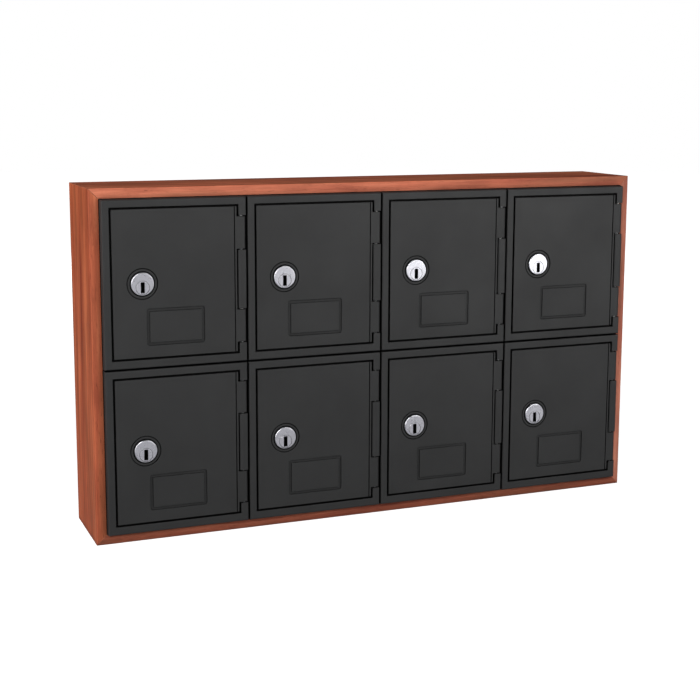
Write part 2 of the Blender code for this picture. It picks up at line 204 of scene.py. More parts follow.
# Each board's name, its turn about Y in degrees, and its tint, partly its own wood and partly painted light:
# darker at the bottom for shade under the bezels, paler at the top and right for sheen
BOARDS = (
    ("top", 0, (1.2, 1.34, 1.5)),
    ("bottom", 180, (0.64, 0.68, 0.76)),
    ("left", -90, (0.97, 0.94, 0.88)),
    ("right", 90, (0.84, 1.04, 1.35)),
)

WORK = bpy.data.collections.new("work")
bpy.context.scene.collection.children.link(WORK)


# Solids in the compartment's frame ----------------------------------------------------------------


def working(name, bm):
    """A working object that holds the shape in bm until the pieces are finished."""
    bmesh.ops.recalc_face_normals(bm, faces=bm.faces)
    mesh = bpy.data.meshes.new(name)
    bm.to_mesh(mesh)
    bm.free()
    obj = bpy.data.objects.new(name, mesh)
    WORK.objects.link(obj)
    return obj


def loft(name, rings, looped=False):
    """A closed solid through rings of equally many points, capped at its ends, or looped end to start."""
    bm = bmesh.new()
    loops = [[bm.verts.new(point) for point in ring] for ring in rings]
    nexts = loops[1:] + ([loops[0]] if looped else [])
    for near, far in zip(loops, nexts):
        for i, vertex in enumerate(near):
            j = (i + 1) % len(near)
            bm.faces.new((vertex, near[j], far[j], far[i]))
    if not looped:
        bm.faces.new(loops[0])
        bm.faces.new(loops[-1])
    return working(name, bm)


def rectangle(u, v, depth, inset, radius):
    """A rounded rectangle drawn inset from its range of U and of V; a negative inset makes it larger."""
    narrow = min(u[1] - u[0], v[1] - v[0]) / 2 - inset
    bend = min(max(radius - inset, PLAN_ROUND / 4), BEND_LIMIT * narrow)
    centres = (
        (u[1] - inset - bend, v[1] - inset - bend),
        (u[0] + inset + bend, v[1] - inset - bend),
        (u[0] + inset + bend, v[0] + inset + bend),
        (u[1] - inset - bend, v[0] + inset + bend),
    )
    points = []
    for quarter, (centre_u, centre_v) in enumerate(centres):
        for step in range(CORNER_STEPS + 1):
            angle = math.pi / 2 * (quarter + step / CORNER_STEPS)
            at_u = centre_u + bend * math.cos(angle)
            at_v = centre_v + bend * math.sin(angle)
            points.append((at_u, depth, -at_v))
    return points


def prism(name, u, v, stations, radius=PLAN_ROUND):
    """A rounded box. Each station is a DEPTH and how far the outline is inset there."""
    return loft(name, [rectangle(u, v, depth, inset, radius) for depth, inset in stations])


def rounding(radius, outward=False):
    """Stations of a rounded front edge, or with outward of a hole whose front edge is rounded."""
    sign = -1 if outward else 1
    stations = []
    for step in range(ROUND_STEPS + 1):
        angle = math.pi / 2 * step / ROUND_STEPS
        stations.append((radius * (1 - math.cos(angle)), sign * radius * (1 - math.sin(angle))))
    return stations


def flipped(stations, depth):
    """Stations of a front edge turned into those of a rear edge that ends at depth."""
    return [(depth - d, inset) for d, inset in reversed(stations)]


def hole(name, u, v, depth, mouth):
    """A cutter from in front of the bezel to a depth, with a mouth whose edge it leaves rounded."""
    stations = [(-CLEAR, -mouth)] + rounding(mouth, outward=True) + [(depth, 0.0)]
    return prism(name, u, v, stations)


def block(name, u, v, depth):
    """A box over a range of U, of V and of DEPTH."""
    return prism(name, u, v, [(depth[0], 0.0), (depth[1], 0.0)])


def turned(name, u, v, stations, facets=FACETS):
    """A solid turned about an axis along DEPTH. Each station is a DEPTH and a radius."""
    rings = []
    for depth, radius in stations:
        angles = [2 * math.pi * (i + 0.5) / facets for i in range(facets)]
        rings.append([(u + radius * math.cos(a), depth, -v + radius * math.sin(a)) for a in angles])
    return loft(name, rings)


def upright(name, stations, squareness=ROUND, facets=KNUCKLE_FACETS):
    """A barrel on the hinge's axis. Each station is a V and a radius, and squareness flattens its sides."""
    rings = []
    for v, radius in stations:
        ring = []
        for i in range(facets):
            angle = 2 * math.pi * (i + 0.5) / facets
            across, along = math.cos(angle), math.sin(angle)
            reach = (abs(across) ** squareness + abs(along) ** squareness) ** (-1 / squareness)
            ring.append((HINGE_U + radius * reach * across, HINGE_DEPTH + radius * reach * along, -v))
        rings.append(ring)
    return loft(name, rings)


def barrel(name, span, radius=KNUCKLE_R, squareness=SQUARENESS):
    """A knuckle between two values of V, with rounded ends."""
    ends = [(d, radius - inset) for d, inset in rounding(KNUCKLE_ROUND)]
    stations = [(span[0] + d, r) for d, r in ends] + [(span[1] - d, r) for d, r in reversed(ends)]
    return upright(name, stations, squareness)


def boolean(obj, other, operation):
    """Adds a modifier that combines a working object with another."""
    step = obj.modifiers.new(other.name, "BOOLEAN")
    step.operation = operation
    step.object = other
    step.solver = "EXACT"


def cut(obj, *others):
    """Cuts other working objects out of one."""
    for other in others:
        boolean(obj, other, "DIFFERENCE")


def join(obj, *others):
    """Joins other working objects to one."""
    for other in others:
        boolean(obj, other, "UNION")


def common(obj, other):
    """What two working objects have in common, kept in the first."""
    boolean(obj, other, "INTERSECT")
    return obj


def finished(obj):
    """The mesh of a working object with its modifiers applied, shaded smooth except at real edges."""
    bpy.context.view_layer.update()
    graph = bpy.context.evaluated_depsgraph_get()
    mesh = bpy.data.meshes.new_from_object(obj.evaluated_get(graph))
    mesh.materials.clear()
    mesh.shade_smooth()
    mesh.set_sharp_from_angle(angle=SMOOTH_BELOW)
    return mesh


# The compartment's moulding -----------------------------------------------------------------------


def shell_mesh():
    """Box with a rounded bezel, a stepped opening, a throat behind it, and the hinge's middle knuckle."""
    right, bottom = PITCH_X - SEAM, PITCH_Z - SEAM
    bezel = [(depth, inset + EDGE_STEP) for depth, inset in rounding(BEZEL_ROUND)]
    step = [(EDGE_STEP_BACK, EDGE_STEP), (EDGE_STEP_BACK + EDGE_STEP, 0.0)]
    stations = bezel + step + flipped(rounding(BACK_ROUND), CELL_DEPTH)
    box = prism("shell", (SEAM, right), (SEAM, bottom), stations)
    inner_u, inner_v = (SEAM + WALL, right - WALL), (SEAM + WALL, bottom - WALL)
    inner = [(LIP_BACK, 0.0)] + flipped(rounding(WALL / 2), CELL_DEPTH - WALL)
    cut(box, prism("cavity", inner_u, inner_v, inner, WALL))
    throat_u = (THROAT_U[0] - THROAT_WALL, THROAT_U[1] + THROAT_WALL)
    throat_v = (THROAT_V[0] - THROAT_WALL, THROAT_V[1] + THROAT_WALL)
    throat_edge = flipped(rounding(THROAT_WALL / 4), THROAT_BACK)
    throat = prism("throat", throat_u, throat_v, [(LIP_BACK - OVERLAP, 0.0)] + throat_edge)
    bar_u, bar_v = (THROAT_U[1], right - OVERLAP), (SEAM + OVERLAP, bottom - OVERLAP)
    join(box, throat, block("hinge_bar", bar_u, bar_v, (LIP_BACK - OVERLAP, POCKET_FLOOR)))
    cut_opening(box)
    add_middle_knuckle(box)
    cut_back(box)
    return finished(box)


def cut_opening(box):
    """The step that the door closes into, the way through behind it, and the pocket for its knuckles."""
    step_u = (DOOR_U[0] - DOOR_GAP, PANEL_RIGHT + DOOR_GAP)
    step_v = (PANEL_V[0] - DOOR_GAP, PANEL_V[1] + DOOR_GAP)
    through = [(REBATE - OVERLAP, -THROAT_FLARE), (REBATE + OVERLAP, 0.0), (THROAT_BACK + CLEAR, 0.0)]
    pocket_u = (HINGE_U - HINGE_DEPTH - POCKET_CLEARANCE, PITCH_X + CLEAR)
    cut(
        box,
        hole("step", step_u, step_v, REBATE, MOUTH_ROUND),
        prism("way_in", THROAT_U, THROAT_V, through),
        hole("pocket", pocket_u, POCKET_V, POCKET_DEPTH, MOUTH_ROUND / 2),
    )


def add_middle_knuckle(box):
    """The fixed knuckle on its foot in the pocket, and the bore that the pin is pushed up from below."""
    knuckle = barrel("middle_knuckle", MIDDLE_V, MIDDLE_R, MIDDLE_SQUARENESS)
    foot_u = (HINGE_U - MIDDLE_R, HINGE_U + MIDDLE_R)
    join(knuckle, block("foot", foot_u, MIDDLE_V, (HINGE_DEPTH, POCKET_DEPTH + OVERLAP)))
    join(box, knuckle)
    bore = ((PIN_V[0] - BORE_R / 2, BORE_R), (PITCH_Z + CLEAR, BORE_R))
    cut(box, upright("pin_bore", bore, facets=PIN_FACETS))


def cut_back(box):
    """Countersunk wall screw holes, and the shallow marks that the mould's ejector pins leave."""
    inner, outer = CELL_DEPTH - WALL, CELL_DEPTH
    sink = WALL_HOLE_SINK - WALL_HOLE_R
    profile = (
        (inner - CLEAR, WALL_HOLE_SINK),
        (inner, WALL_HOLE_SINK),
        (inner + sink * SINK_STEEPNESS, WALL_HOLE_R),
        (outer + CLEAR, WALL_HOLE_R),
    )
    for v in (WALL_HOLE_INSET, PITCH_Z - WALL_HOLE_INSET):
        cut(box, turned("wall_hole", PITCH_X / 2, v, profile, SMALL_FACETS))
    mark = ((outer - EJECTOR_DEPTH, EJECTOR_R), (outer + CLEAR, EJECTOR_R))
    for u in (EJECTOR_INSET, PITCH_X - EJECTOR_INSET):
        for v in (EJECTOR_INSET, PITCH_Z - EJECTOR_INSET):
            cut(box, turned("ejector_mark", u, v, mark, SMALL_FACETS))


# The door -----------------------------------------------------------------------------------------


def door_mesh():
    """Panel with a crease beside the hinge, two knuckles, a label outline, the lock's recess, and ribs."""
    panel_u = (DOOR_U[0], PANEL_RIGHT)
    stations = rounding(PANEL_ROUND) + flipped(rounding(BACK_ROUND / 2), PANEL_THICK)
    door = prism("door", panel_u, PANEL_V, stations, PANEL_ROUND)
    over_v = (DOOR_V[0] - CLEAR, DOOR_V[1] + CLEAR)
    relief_u = (PANEL_RIGHT - RELIEF, PANEL_RIGHT + CLEAR)
    cut(door, block("relief", relief_u, over_v, (RELIEF_FRONT, PANEL_THICK + CLEAR)))
    crease = PANEL_RIGHT - CREASE_FROM_EDGE
    crease_u = (crease - CREASE_WIDTH / 2, crease + CREASE_WIDTH / 2)
    cut(door, hole("crease", crease_u, over_v, CREASE_DEPTH, CREASE_WIDTH / 3))
    add_ribs(door)
    for name, span in knuckle_spans():
        join(door, *knuckle_with_web(name, span))
    bore = ((PIN_V[0] - CLEAR, BORE_R), (PIN_V[1] + CLEAR, BORE_R))
    cut(door, upright("door_bore", bore, facets=PIN_FACETS), label_cutter(), recess_cutter())
    cut(door, ring_cutter("seat", SEAT_R, SEAT_INNER_R, SEAT_DEPTH))
    cut(door, ring_cutter("ring", RECESS_R - RECESS_ROUND / 2, RING_R, RING_DEPTH))
    lock_depth = (-CLEAR, PANEL_THICK + CLEAR)
    cut(door, lock_barrel("lock_hole", BODY_R + LOCK_GAP, BODY_FLAT + LOCK_GAP, lock_depth))
    return finished(door)


def knuckle_spans():
    """The name and the range of V of each of the door's two knuckles."""
    upper = (POCKET_V[0] + KNUCKLE_GAP, MIDDLE_V[0] - KNUCKLE_GAP)
    lower = (MIDDLE_V[1] + KNUCKLE_GAP, POCKET_V[1] - KNUCKLE_GAP)
    return ("upper", upper), ("lower", lower)


def knuckle_with_web(name, span):
    """A knuckle, and the strip that carries the panel's face on to it."""
    web_u = (PANEL_RIGHT - WEB_OVERLAP, HINGE_U)
    web_ends = [(WEB_FRONT + d, inset) for d, inset in rounding(KNUCKLE_ROUND)]
    web = prism(f"{name}_web", web_u, span, web_ends + [(WEB_BACK, 0.0)])
    return barrel(f"{name}_knuckle", span), web


def add_ribs(door):
    """The rim and the ribs that stiffen the panel from behind."""
    rim_u = (THROAT_U[0] + RIB_INSET, THROAT_U[1] - RIB_INSET)
    rim_v = (THROAT_V[0] + RIB_INSET, THROAT_V[1] - RIB_INSET)
    front, back = PANEL_THICK - OVERLAP, DOOR_DEPTH[1]
    edge = [(front, 0.0)] + flipped(rounding(RIB_WALL / 6), back)
    rim = prism("rim", rim_u, rim_v, edge, 2 * RIB_WALL)
    hollow_u = (rim_u[0] + RIB_WALL, rim_u[1] - RIB_WALL)
    hollow_v = (rim_v[0] + RIB_WALL, rim_v[1] - RIB_WALL)
    cut(rim, prism("rim_hollow", hollow_u, hollow_v, [(0.0, 0.0), (back + CLEAR, 0.0)], RIB_WALL))
    half = RIB_WALL / 2
    rib_edge = [(front, 0.0)] + flipped(rounding(RIB_WALL / 6), back - half)
    across_u, up_v = (rim_u[0] + half, rim_u[1] - half), (rim_v[0] + half, rim_v[1] - half)
    across = [prism("level_rib", across_u, (v - half, v + half), rib_edge) for v in RIB_V]
    join(door, rim, prism("upright_rib", (RIB_U - half, RIB_U + half), up_v, rib_edge), *across)


def label_cutter():
    """The channel round the label panel: its section, swept along a rectangle."""
    section = [(-CLEAR, LABEL_GROOVE[0][1])] + list(LABEL_GROOVE)
    section += [(depth, -half) for depth, half in reversed(section) if half > 0]
    rings = [rectangle(LABEL_U, LABEL_V, depth, inset, CLEAR) for depth, inset in section]
    return loft("label_groove", rings, looped=True)


def recess_cutter():
    """The shallow round recess in the panel's face that the lock stands in."""
    mouth = [(depth, RECESS_R - inset) for depth, inset in rounding(RECESS_ROUND, outward=True)]
    foot = [(depth, RECESS_R - inset) for depth, inset in flipped(rounding(RECESS_ROUND), RECESS_DEPTH)]
    return turned("recess", LOCK_U, LOCK_V, [(-CLEAR, mouth[0][1])] + mouth + foot)


def ring_cutter(name, outer_r, inner_r, depth):
    """A square groove round the lock."""
    ring = turned(name, LOCK_U, LOCK_V, ((RECESS_DEPTH - OVERLAP, outer_r), (depth, outer_r)))
    core = turned(f"{name}_core", LOCK_U, LOCK_V, ((-CLEAR, inner_r), (depth + CLEAR, inner_r)))
    cut(ring, core)
    return ring


# The lock -----------------------------------------------------------------------------------------


def lock_barrel(name, radius, half_flats, depth, stations=None):
    """A cylinder round the lock's centre with a flat on its left and right sides."""
    round_part = turned(name, LOCK_U, LOCK_V, stations or ((depth[0], radius), (depth[1], radius)))
    across = (LOCK_U - half_flats, LOCK_U + half_flats)
    up_down = (LOCK_V - 2 * radius, LOCK_V + 2 * radius)
    flats = block(f"{name}_flats", across, up_down, (depth[0] - CLEAR, depth[1] + CLEAR))
    return common(round_part, flats)


def threads(front, back):
    """Stations of a threaded barrel between two depths."""
    stations = [(front, BODY_R)]
    turns = int((back - front) / THREAD_PITCH)
    for turn in range(turns):
        start = front + turn * THREAD_PITCH
        stations.append((start + THREAD_CREST * THREAD_PITCH, BODY_R))
        stations.append((start + THREAD_ROOT * THREAD_PITCH, BODY_R - THREAD_DEPTH))
        stations.append((start + THREAD_PITCH, BODY_R))
    return stations + [(back, BODY_R - THREAD_DEPTH)]


def on_plug_axis(name, stations):
    """A solid turned about the plug's axis, which is off the centre of the lock's face."""
    return turned(name, LOCK_U, PLUG_V, stations)


def square_on_plug_axis(name, half, depth):
    """A square bar along the plug's axis."""
    return block(name, (LOCK_U - half, LOCK_U + half), (PLUG_V - half, PLUG_V + half), depth)


def lock_face_mesh():
    """Round face with a rounded rim on a threaded barrel, bored off centre for the plug."""
    rim = [(FACE_FRONT + depth, FACE_R - inset) for depth, inset in rounding(FACE_ROUND)]
    face = turned("face", LOCK_U, LOCK_V, rim + [(FACE_BACK, FACE_R)])
    front = FACE_BACK - OVERLAP
    body = lock_barrel("body", BODY_R, BODY_FLAT, (front, BODY_BACK), threads(front, BODY_BACK))
    join(face, body)
    head_bore = ((FACE_FRONT - CLEAR, HEAD_R + LOCK_GAP), (HEAD_BACK + LOCK_GAP, HEAD_R + LOCK_GAP))
    shank_bore = ((FACE_FRONT - CLEAR, SHANK_R + LOCK_GAP), (BODY_BACK + CLEAR, SHANK_R + LOCK_GAP))
    cut(face, on_plug_axis("head_bore", head_bore), on_plug_axis("shank_bore", shank_bore))
    return finished(face)


def plug_mesh():
    """Headed plug with a warded keyway in front and a square tail behind that turns the cam."""
    head = [(FACE_FRONT + d, HEAD_R - inset) for d, inset in rounding(HEAD_CHAMFER)] + [(HEAD_BACK, HEAD_R)]
    plug = on_plug_axis("plug", head)
    shank = on_plug_axis("shank", ((HEAD_BACK - OVERLAP, SHANK_R), (BODY_BACK, SHANK_R)))
    join(plug, shank, square_on_plug_axis("tail", TAIL_HALF, (BODY_BACK - CLEAR, TAIL_BACK)))
    slot_u = (LOCK_U - KEYWAY_WIDTH / 2, LOCK_U + KEYWAY_WIDTH / 2)
    slot_v = (PLUG_V - KEYWAY_HEIGHT / 2, PLUG_V + KEYWAY_HEIGHT / 2)
    slot = prism("keyway", slot_u, slot_v, ((FACE_FRONT - CLEAR, 0.0), (KEYWAY_BACK, 0.0)), KEYWAY_WIDTH / 6)
    ward_u = (slot_u[0] - CLEAR, slot_u[0] + WARD_WIDTH)
    cut(slot, block("ward", ward_u, WARD_V, (WARD_FRONT, KEYWAY_BACK + CLEAR)))
    cut(plug, slot)
    return finished(plug)


def cam_mesh():
    """Flat cam that hangs from the plug's tail."""
    front, back = CAM_DEPTH[0], CAM_DEPTH[0] + CAM_THICK
    edge = [(front + d, inset) for d, inset in rounding(CAM_ROUND)] + flipped(rounding(CAM_ROUND), back)
    round_r = (CAM_U[1] - CAM_U[0]) / 2
    cam = on_plug_axis("cam", [(d, round_r - inset) for d, inset in edge])
    tongue_u = (LOCK_U - TONGUE_WIDTH / 2, LOCK_U + TONGUE_WIDTH / 2)
    join(cam, prism("tongue", tongue_u, (PLUG_V, CAM_V[1]), edge, TONGUE_WIDTH / 5))
    cut(cam, square_on_plug_axis("square", TAIL_HALF + LOCK_GAP / 2, (front - CLEAR, back + CLEAR)))
    return finished(cam)


def cam_screw_mesh():
    """Pan head with a cross recess."""
    seat, top = CAM_DEPTH[0] + CAM_THICK, CAM_DEPTH[1]
    dome = flipped(rounding(SCREW_R / 4), top)
    head = on_plug_axis("cam_screw", [(seat, SCREW_R)] + [(d, SCREW_R - inset) for d, inset in dome])
    half, reach = SCREW_SLOT / 2, SCREW_R * SCREW_CROSS
    depth = (top - SCREW_SLOT_DEPTH, top + CLEAR)
    for u, v in ((half, reach), (reach, half)):
        cut(head, block("cross", (LOCK_U - u, LOCK_U + u), (PLUG_V - v, PLUG_V + v), depth))
    return finished(head)


def nut_mesh():
    """Hexagon nut with its corners turned down on both faces."""
    tall = NUT_V[1] - NUT_V[0] > NUT_U[1] - NUT_U[0]
    across = min(NUT_U[1] - NUT_U[0], NUT_V[1] - NUT_V[0])
    corner_r = across / 2 / math.cos(math.pi / 6)
    angles = [math.pi / 3 * (i + (0.5 if tall else 0.0)) for i in range(6)]
    around = [(LOCK_U + corner_r * math.cos(a), -LOCK_V + corner_r * math.sin(a)) for a in angles]
    nut = loft("nut", [[(x, depth, z) for x, z in around] for depth in NUT_DEPTH])
    flat_r, rise = corner_r - NUT_CHAMFER_SLOPE * NUT_CHAMFER, NUT_CHAMFER
    profile = (
        (NUT_DEPTH[0], flat_r),
        (NUT_DEPTH[0] + rise, corner_r + OVERLAP),
        (NUT_DEPTH[1] - rise, corner_r + OVERLAP),
        (NUT_DEPTH[1], flat_r),
    )
    common(nut, turned("nut_chamfer", LOCK_U, LOCK_V, profile))
    bore_r = BODY_R + NUT_BORE_GAP
    bore = ((NUT_DEPTH[0] - CLEAR, bore_r), (NUT_DEPTH[1] + CLEAR, bore_r))
    cut(nut, turned("nut_bore", LOCK_U, LOCK_V, bore))
    return finished(nut)


def pin_mesh():
    """The hinge pin, with domed ends."""
    ends = [(d, PIN_R - inset * PIN_TAPER) for d, inset in rounding(PIN_R)]
    stations = [(PIN_V[0] + d, r) for d, r in ends] + [(PIN_V[1] - d, r) for d, r in reversed(ends)]
    return finished(upright("pin", stations, facets=PIN_FACETS))


# The surround -------------------------------------------------------------------------------------


def board_section(depth, thick, waver):
    """A board's outline across the grain, with rounded arrises that waver a little along its length."""
    half_y, half_z = depth / 2, thick / 2
    corners = (
        (half_y, half_z, ARRIS, 0),
        (-half_y, half_z, ARRIS + waver, 1),
        (-half_y, -half_z, INNER_ARRIS, 2),
        (half_y, -half_z, INNER_ARRIS, 3),
    )
    points = []
    for y, z, bend, quarter in corners:
        centre_y, centre_z = y - math.copysign(bend, y), z - math.copysign(bend, z)
        for step in range(CORNER_STEPS + 1):
            angle = math.pi / 2 * (quarter + step / CORNER_STEPS)
            points.append((centre_y + bend * math.cos(angle), centre_z + bend * math.sin(angle)))
    return points


def board_mesh(name, length, depth, thick):
    """A board lying along X with its outer face up and mitred ends."""
    rings = []
    for ring in range(BOARD_RINGS + 1):
        share = 2 * ring / BOARD_RINGS - 1
        slow = math.sin(SLOW_WAVER * share + length * SLOW_PHASE)
        waver = ARRIS_WAVER * (slow + math.sin(FAST_WAVER * share + FAST_PHASE)) / 2
        section = board_section(depth, thick, waver)
        reach = length / 2 - MITRE_GAP - thick / 2
        rings.append([(share * (reach + z), y, z) for y, z in section])
    return finished(loft(name, rings))


# Materials ----------------------------------------------------------------------------------------

NOISE_SPAN = (0.3, 0.7)  # nearly all values of a noise lie between these
OWN_SHIFT = (3.1, 5.7, 7.3)  # how far a piece's random number moves its pattern

# Outer edges, where the surface turns within a reach, are lighter, partly wear and partly a painted
# highlight, and gaps narrower than a reach are darkened with painted shade
EDGE_REACH, WOOD_EDGE_REACH, EDGE_SAMPLES = 0.0005, 0.0009, 4
EDGE_FACING = (1.0, 0.8)  # a softened normal against the true one, on a flat and on a fully worn and highlighted edge
# Painted shade in gaps and inside corners: how far it looks on plastic, chrome and wood, and its darkest
# share
CREVICE_REACH, CHROME_CREVICE_REACH, WOOD_CREVICE_REACH, CREVICE_SAMPLES = 0.004, 0.001, 0.008, 6
CREVICE_DARKEST, WOOD_CREVICE_DARKEST = 0.06, 0.4
OPEN_SKY = (0.4, 0.92)  # the share of open sky at the bottom of a gap and on an open face

# The plastic's cloud runs from the first colour to the second; the third lightens its edges, partly wear and
# partly a painted highlight
BLACK_LOW, BLACK_HIGH, BLACK_WORN_AND_HIGHLIT = (0.0185, 0.0187, 0.0187), (0.0235, 0.0238, 0.0238), (0.04, 0.04, 0.041)
BLACK_WEAR_AND_HIGHLIGHT, BLACK_SPECULAR = 0.5, 0.3
BLACK_ROUGH, BLACK_GRAIN_ROUGH = (0.54, 0.48), (-0.03, 0.03)
BLACK_PEBBLE_HEIGHT, BLACK_RELIEF, BLACK_BUMP = 0.6, 0.00003, 0.35

WOOD_DARK, WOOD_MID, WOOD_LIGHT = (0.26, 0.047, 0.022), (0.47, 0.108, 0.046), (0.66, 0.185, 0.08)
WOOD_TONES = (0.34, 0.5, 0.65)  # the figure's values that take the three colours
WOOD_BROWN, BROWN_HUES, BROWN_SHARE = (0.3, 0.085, 0.035), (0.5, 0.68), (0.0, 0.75)
# The arrises' lighter colour and how much they take of it, partly wear and partly a painted highlight
WOOD_WORN_AND_HIGHLIT, WOOD_WEAR_AND_HIGHLIGHT = (0.72, 0.26, 0.15), 0.45
FRONT_SHEEN_TINT, SHEEN_FACING = (1.0, 1.12, 1.3), (-0.9, -0.4)  # painted sheen: faces turned to the front take a paler tint, as if lit from the front
WOOD_SWAY = 0.02  # how far the figure bends sideways
BROAD_SHARE, NARROW_SHARE = 0.7, 0.3
PATCH_SHADE, FIBRE_SHADE, PORE_SHADE = (0.82, 1.16), (0.88, 1.1), (1.0, 0.55)
PORE_SPAN = (0.66, 0.74)  # only the highest values of the pores' noise are pores
WOOD_ROUGH, WOOD_SPECULAR = (0.62, 0.5), 0.12
FIBRE_HEIGHT, WOOD_RELIEF, WOOD_BUMP = 0.5, 0.00006, 0.6

CHROME_LOW, CHROME_HIGH, CHROME_SPECKS = (0.54, 0.54, 0.575), (0.75, 0.75, 0.79), (0.32, 0.68)
CHROME_ROUGH, CHROME_RELIEF, CHROME_BUMP = (0.26, 0.34), 0.00001, 0.25

ZINC_YELLOW, ZINC_PLAIN, ZINC_BLUE = (0.5, 0.49, 0.44), (0.56, 0.56, 0.55), (0.5, 0.53, 0.57)
ZINC_ROUGH, ZINC_STREAK_ROUGH, ZINC_RELIEF, ZINC_BUMP = (0.28, 0.4), (0.0, 0.08), 0.00002, 0.3

# Painted shade inside the keyway: its two near-black colours, its roughness and its gloss
KEYWAY_SHADE_LOW, KEYWAY_SHADE_HIGH = (0.001, 0.001, 0.001), (0.004, 0.004, 0.004)
KEYWAY_SHADE_ROUGH, KEYWAY_SHADE_SPECULAR = (0.45, 0.7), 0.1


def new_material(name):
    """A material with only a Principled BSDF and an output, its node tree, and that shader."""
    made = bpy.data.materials.new(name)
    made.use_nodes = True
    tree = made.node_tree
    return made, tree, tree.nodes["Principled BSDF"]


def node(tree, kind, inputs=None, **settings):
    """A node with its settings and inputs, where an input is a value or another node's output."""
    made = tree.nodes.new(kind)
    for key, value in settings.items():
        setattr(made, key, value)
    for key, value in (inputs or {}).items():
        set_input(tree, made.inputs[key], value)
    return made


def set_input(tree, socket, value):
    """Links another node's output to an input, or sets the input's value."""
    if isinstance(value, bpy.types.NodeSocket):
        tree.links.new(value, socket)
    else:
        socket.default_value = value


def give(tree, shader, **values):
    """Sets or links inputs of a shader; an underscore in a name stands for a space."""
    for key, value in values.items():
        set_input(tree, shader.inputs[key.replace("_", " ")], value)


def vector_math(tree, operation, a, b):
    return node(tree, "ShaderNodeVectorMath", {0: a, 1: b}, operation=operation)


def math_node(tree, operation, a, b):
    return node(tree, "ShaderNodeMath", {0: a, 1: b}, operation=operation).outputs[0]


def own_coords(tree):
    """The object's own coordinates, shifted by a random amount of its own so that no two pieces match."""
    coords = node(tree, "ShaderNodeTexCoord").outputs["Object"]
    luck = node(tree, "ShaderNodeObjectInfo").outputs["Random"]
    shift = node(tree, "ShaderNodeVectorMath", {0: OWN_SHIFT, "Scale": luck}, operation="SCALE")
    return vector_math(tree, "ADD", coords, shift.outputs[0]).outputs[0]


def stretched(tree, coords, factors):
    return vector_math(tree, "MULTIPLY", coords, factors).outputs[0]


def noise(tree, coords, scale, detail, rough):
    """A noise that changes about as often in a metre as its scale says."""
    inputs = {"Vector": coords, "Scale": scale, "Detail": detail, "Roughness": rough}
    return node(tree, "ShaderNodeTexNoise", inputs).outputs["Fac"]


def figure(tree, coords, along, across, detail, rough):
    """A noise drawn out along a board's length, with a scale along the grain and another across it."""
    return noise(tree, stretched(tree, coords, (along, across, across)), 1.0, detail, rough)


def ramp(tree, factor, *stops):
    """A colour ramp. Each stop is a place and a colour of three numbers."""
    made = node(tree, "ShaderNodeValToRGB", {"Fac": factor})
    elements = made.color_ramp.elements
    while len(elements) < len(stops):
        elements.new(0.5)
    for element, (place_on_ramp, colour) in zip(elements, stops):
        element.position = place_on_ramp
        element.color = (*colour, 1.0)
    return made.outputs["Color"]


def level(tree, value, span, to_span):
    """Maps one range of values on to another and stops at its ends."""
    inputs = {"Value": value, "From Min": span[0], "From Max": span[1]}
    inputs.update({"To Min": to_span[0], "To Max": to_span[1]})
    return node(tree, "ShaderNodeMapRange", inputs).outputs["Result"]


def mixed(tree, factor, a, b, blend="MIX"):
    """A mix of two colours."""
    made = node(tree, "ShaderNodeMix", None, data_type="RGBA", blend_type=blend)
    for index, value in ((0, factor), (6, a), (7, b)):
        set_input(tree, made.inputs[index], (*value, 1.0) if isinstance(value, tuple) else value)
    return made.outputs[2]


def times(tree, colour, share):
    """A colour times a number."""
    grey = node(tree, "ShaderNodeCombineColor", {"Red": share, "Green": share, "Blue": share}).outputs[0]
    return mixed(tree, 1.0, colour, grey, "MULTIPLY")


def bumped(tree, shader, height, distance, strength):
    bump = node(tree, "ShaderNodeBump", {"Height": height, "Distance": distance, "Strength": strength})
    tree.links.new(bump.outputs["Normal"], shader.inputs["Normal"])


def edge_wear_and_highlight(tree, reach=EDGE_REACH):
    """1 where the surface turns within a short way, such as on an outer edge, and 0 on a flat."""
    softened = node(tree, "ShaderNodeBevel", {"Radius": reach}, samples=EDGE_SAMPLES).outputs["Normal"]
    actual = node(tree, "ShaderNodeNewGeometry").outputs["Normal"]
    facing = vector_math(tree, "DOT_PRODUCT", softened, actual).outputs["Value"]
    return level(tree, facing, EDGE_FACING, (0.0, 1.0))


def painted_crevice_shade(tree, reach=CREVICE_REACH, darkest=CREVICE_DARKEST):
    """Painted shade: 1 on open surfaces, and less in gaps and inside corners, where shade falls."""
    sky = node(tree, "ShaderNodeAmbientOcclusion", {"Distance": reach}, samples=CREVICE_SAMPLES)
    return level(tree, sky.outputs["AO"], OPEN_SKY, (darkest, 1.0))


